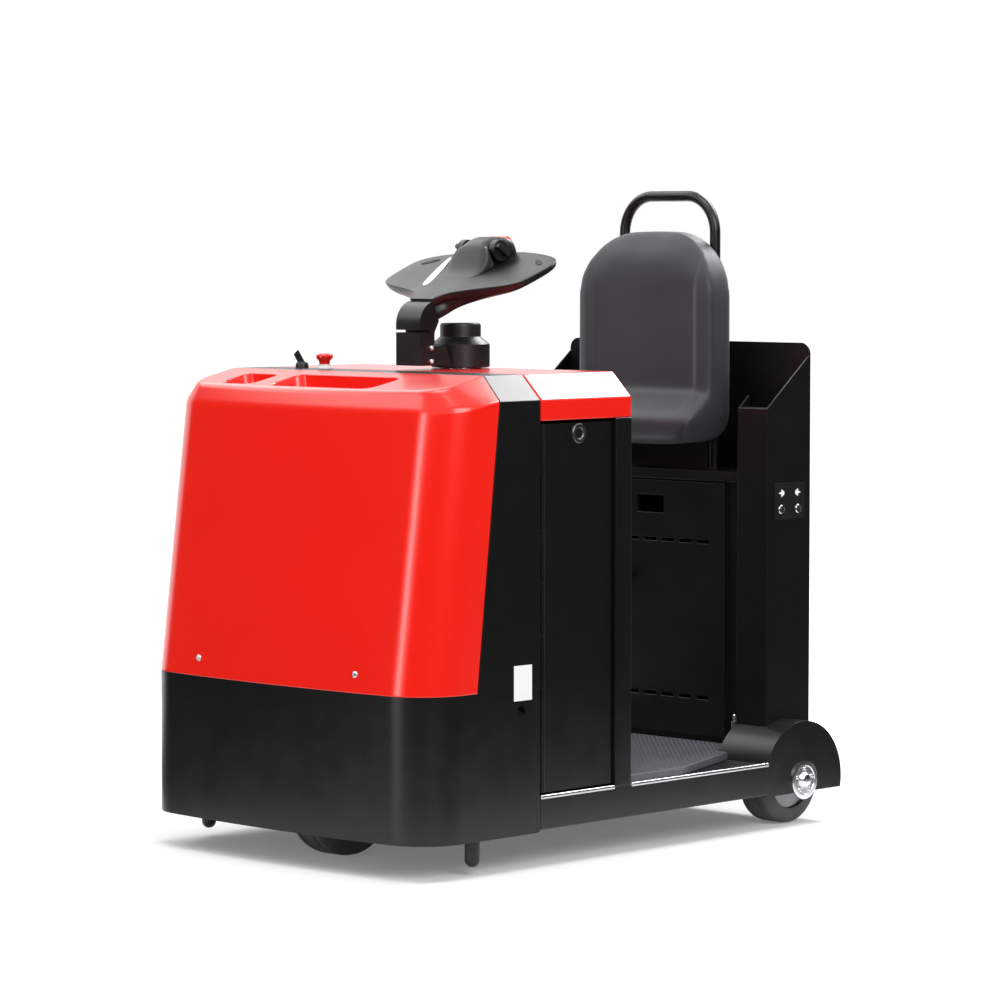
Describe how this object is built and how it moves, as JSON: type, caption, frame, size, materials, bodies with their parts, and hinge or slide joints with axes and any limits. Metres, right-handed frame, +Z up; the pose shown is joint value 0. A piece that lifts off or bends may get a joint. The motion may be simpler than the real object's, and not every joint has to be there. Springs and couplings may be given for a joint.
{
  "type": "airport baggage tug",
  "caption": "Stand-on electric tow tractor with a red hood, low platform, tiller steering, lean seat with grab loop and a rear tow jaw.",
  "frame": {"origin": "on the floor under the middle of the vehicle's box", "axes": "+Z up, front is -Y, the vehicle's left is +X"},
  "size_m": [0.78, 1.264, 1.273],
  "materials": {
    "hood_paint": "vivid red moulded shell, satin gloss",
    "frame_paint": "black powder coat with fine texture",
    "black_plastic": "moulded black plastic",
    "bright_steel": "machined bright steel",
    "cast_hub": "machined cast hub",
    "tyre": "solid black tyre",
    "mat_rubber": "blue-grey ribbed rubber mat",
    "seat_cover": "dark grey moulded seat skin"
  },
  "bodies": {
    "chassis": {"hood": "hood_paint", "battery_cover": "hood_paint", "emergency_stop": "hood_paint", "front_skirt": "frame_paint", "front_frame": "frame_paint", "side_sills": "frame_paint", "belly_pan": "frame_paint", "drive_deck": "frame_paint", "bay_frame": "frame_paint", "floor_plate": "frame_paint", "left_arch": "frame_paint", "right_arch": "frame_paint", "rear_shell": "frame_paint", "rear_shelf": "frame_paint", "rear_panel": "frame_paint", "rear_crossmember": "frame_paint", "seat_plate": "frame_paint", "grab_loop": "frame_paint", "tow_jaw": "frame_paint", "battery": "black_plastic", "key_switch": "black_plastic", "anti_tip_feet": "black_plastic", "door_hinges": "bright_steel", "left_axle": "bright_steel", "right_axle": "bright_steel", "steering_spindle": "bright_steel", "inching_buttons": "bright_steel", "floor_mat": "mat_rubber", "seat_cushion": "seat_cover"},
    "drive_unit": {"drive_carrier": "frame_paint", "drive_motor": "cast_hub", "drive_axle": "bright_steel"},
    "drive_wheel": {"drive_hub": "cast_hub", "drive_tyre": "tyre"},
    "left_wheel": {"left_hub": "cast_hub", "left_tyre": "tyre"},
    "right_wheel": {"right_hub": "cast_hub", "right_tyre": "tyre"},
    "steering": {"steering_boss": "black_plastic", "steering_arm": "black_plastic", "steering_head": "black_plastic", "throttle": "black_plastic", "horn_button": "hood_paint"},
    "left_door_leaf": {"left_door": "frame_paint", "left_lock": "bright_steel"},
    "right_door_leaf": {"right_door": "frame_paint", "right_lock": "bright_steel"},
    "pin": {"tow_pin": "bright_steel"}
  },
  "joints": [
    {"name": "drive_turn", "type": "hinge", "parent": "chassis", "child": "drive_unit", "pos_m": [0, -0.45, 0.3], "axis": [0, 0, 1], "range_deg": [-85, 85]},
    {"name": "drive_spin", "type": "hinge", "parent": "drive_unit", "child": "drive_wheel", "pos_m": [0, -0.45, 0.115], "axis": [1, 0, 0], "continuous": true},
    {"name": "left_spin", "type": "hinge", "parent": "chassis", "child": "left_wheel", "pos_m": [0.3185, 0.465, 0.09], "axis": [1, 0, 0], "continuous": true},
    {"name": "right_spin", "type": "hinge", "parent": "chassis", "child": "right_wheel", "pos_m": [-0.3185, 0.465, 0.09], "axis": [1, 0, 0], "continuous": true},
    {"name": "steer_turn", "type": "hinge", "parent": "chassis", "child": "steering", "pos_m": [0, -0.125, 0.95], "axis": [0, 0, 1], "range_deg": [-85, 85]},
    {"name": "left_door_swing", "type": "hinge", "parent": "chassis", "child": "left_door_leaf", "pos_m": [0.384, -0.298, 0.48], "axis": [0, 0, -1], "range_deg": [0, 110]},
    {"name": "right_door_swing", "type": "hinge", "parent": "chassis", "child": "right_door_leaf", "pos_m": [-0.384, -0.298, 0.48], "axis": [0, 0, 1], "range_deg": [0, 110]},
    {"name": "pin_lift", "type": "slide", "parent": "chassis", "child": "pin", "axis": [0, 0, 1], "range_m": [0, 0.11]}
  ],
  "couplings": [
    {"joint": "steer_turn", "follows": "drive_turn", "ratio": 1}
  ]
}
